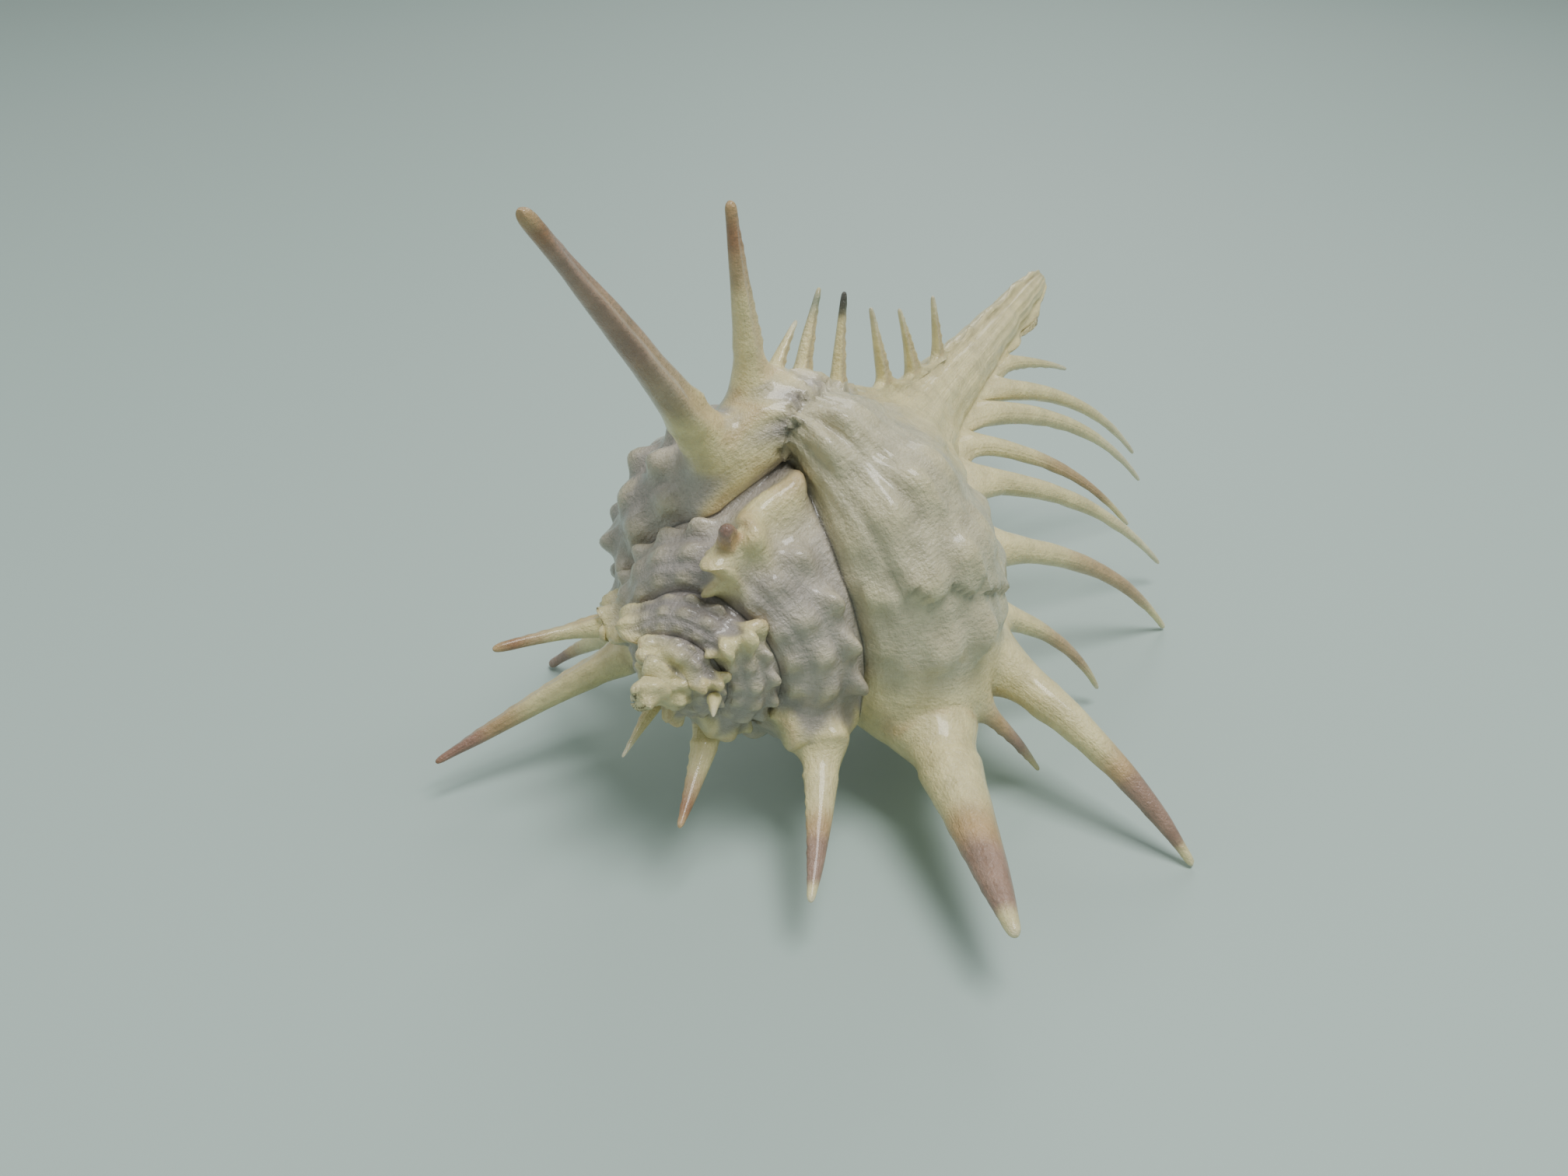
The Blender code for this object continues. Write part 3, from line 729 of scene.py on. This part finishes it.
for texture, strength in ((growth_lines, 0.45), (threads, 0.18), (pits, 0.55), (mottle, 0.40)):
    scaled = finish_node("ShaderNodeMath", operation="MULTIPLY")
    scaled.inputs[1].default_value = strength
    links.new(texture.outputs["Fac"], scaled.inputs[0])
    if height is None:
        height = scaled
    else:
        total = finish_node("ShaderNodeMath", operation="ADD")
        links.new(height.outputs[0], total.inputs[0])
        links.new(scaled.outputs[0], total.inputs[1])
        height = total
bump = finish_node("ShaderNodeBump", Strength=0.8, Distance=0.0006)
links.new(height.outputs[0], bump.inputs["Height"])
links.new(bump.outputs["Normal"], shader.inputs["Normal"])
shell.data.materials.clear()
shell.data.materials.append(lime)
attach(shell, "root")
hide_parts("shell")

# ======================================================================== operculum
# The horny door of the aperture, a thin dark plate with coarse growth rings.  A disc is inset
# ring by ring, laid across the throat a little way in and given its thickness.
OPERCULUM_TURN, OPERCULUM_SIZE, OPERCULUM_THICKNESS = 0.018, 0.85, 0.8
DOOR_SIDES, DOOR_RINGS = 64, 18
bpy.ops.object.select_all(action="DESELECT")
bpy.ops.mesh.primitive_circle_add(vertices=DOOR_SIDES, radius=1.0, fill_type="NGON")
door = bpy.context.object
door.name = "horny_operculum"
bpy.ops.object.mode_set(mode="EDIT")
bpy.ops.mesh.select_mode(type="FACE")
bpy.ops.mesh.select_all(action="SELECT")
for ring in range(DOOR_RINGS):
    bpy.ops.mesh.inset(thickness=0.95 / DOOR_RINGS)
bpy.ops.mesh.poke()
bpy.ops.object.mode_set(mode="OBJECT")
for vert in door.data.vertices:
    out = min(1.0, vert.co.to_2d().length)
    share = math.atan2(vert.co.y, vert.co.x) / (2.0 * math.pi)
    long = -math.cos(2.0 * math.pi * share) * APERTURE_HALF_LONG * OPERCULUM_SIZE * out
    wide = math.sin(2.0 * math.pi * share) * APERTURE_HALF_WIDE * OPERCULUM_SIZE * out
    radius = APERTURE_CENTRE[1] + wide - APERTURE_LEAN * long
    rise = 0.35 + 0.45 * (1.0 - out) + 0.14 * math.cos(math.pi * DOOR_RINGS * out)
    rise += 0.12 * noise.noise(Vector((long, wide, 0.0)))
    vert.co = place_wall((APERTURE_CENTRE[0] + long) * growth(OPERCULUM_TURN),
                         radius * growth(OPERCULUM_TURN),
                         azimuth(OPERCULUM_TURN) - rise / radius)
plate = door.modifiers.new("plate", "SOLIDIFY")
plate.thickness = OPERCULUM_THICKNESS * MM
plate.offset = 0.0
bpy.ops.object.modifier_apply(modifier="plate")
bpy.ops.object.mode_set(mode="EDIT")
bpy.ops.mesh.select_all(action="SELECT")
bpy.ops.mesh.normals_make_consistent(inside=False)
bpy.ops.object.mode_set(mode="OBJECT")
bpy.ops.object.shade_smooth()

horn = bpy.data.materials.new("olive_horn")
horn.use_nodes = True
nodes, links = horn.node_tree.nodes, horn.node_tree.links
shader = nodes["Principled BSDF"]
shader.inputs["Roughness"].default_value = 0.5
place_node = finish_node("ShaderNodeTexCoord")
fibres = finish_node("ShaderNodeTexNoise", Scale=500.0, Detail=6.0, Roughness=0.65)
links.new(place_node.outputs["Object"], fibres.inputs["Vector"])
ramp = finish_node("ShaderNodeValToRGB")
ramp.color_ramp.elements[0].color = (0.012, 0.011, 0.003, 1.0)
ramp.color_ramp.elements[0].position = 0.3
ramp.color_ramp.elements[1].color = (0.085, 0.075, 0.018, 1.0)
ramp.color_ramp.elements[1].position = 0.75
links.new(fibres.outputs["Fac"], ramp.inputs["Fac"])
links.new(ramp.outputs["Color"], shader.inputs["Base Color"])
bump = finish_node("ShaderNodeBump", Strength=0.7, Distance=0.0005)
links.new(fibres.outputs["Fac"], bump.inputs["Height"])
links.new(bump.outputs["Normal"], shader.inputs["Normal"])
door.data.materials.clear()
door.data.materials.append(horn)
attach(door, "root")
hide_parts("operculum")

# ======================================================================== floor, light, camera
# A pale floor under the spine tips, three soft lamps in a pale studio, and a camera close to
# the apex and a little above it.
bpy.ops.object.select_all(action="DESELECT")
bpy.ops.mesh.primitive_plane_add(size=6.0, location=(0.0, 0.0, -0.0002))
floor = bpy.context.object
floor.name = "floor"
paper = bpy.data.materials.new("pale_floor")
paper.use_nodes = True
shader = paper.node_tree.nodes["Principled BSDF"]
shader.inputs["Base Color"].default_value = (0.40, 0.50, 0.46, 1.0)
shader.inputs["Roughness"].default_value = 0.6
floor.data.materials.append(paper)

world = bpy.data.worlds.new("studio")
bpy.context.scene.world = world
world.use_nodes = True
sky = world.node_tree.nodes["Background"]
sky.inputs["Color"].default_value = (0.78, 0.90, 0.87, 1.0)
sky.inputs["Strength"].default_value = 0.34

for name, place_at, size, power in (("key", (0.18, -0.05, 0.62), 0.28, 4.0),
                                    ("fill", (-0.55, -0.35, 0.45), 0.50, 0.9),
                                    ("back", (-0.25, 0.60, 0.45), 0.35, 1.3)):
    bpy.ops.object.light_add(type="AREA", location=place_at)
    lamp = bpy.context.object
    lamp.name = name
    lamp.data.size = size
    lamp.data.energy = power
    lamp.rotation_euler = (Vector((0.0, 0.0, 0.03)) - Vector(place_at)).to_track_quat(
        "-Z", "Y").to_euler()

bpy.ops.object.camera_add(location=(0.05628, -0.13603, 0.10697),
                          rotation=[math.radians(turn) for turn in (57.171, -0.694, 30.056)])
camera = bpy.context.object
camera.data.lens = 30.36
camera.data.sensor_width = 36.0
camera.data.clip_start = 0.005
bpy.context.scene.camera = camera
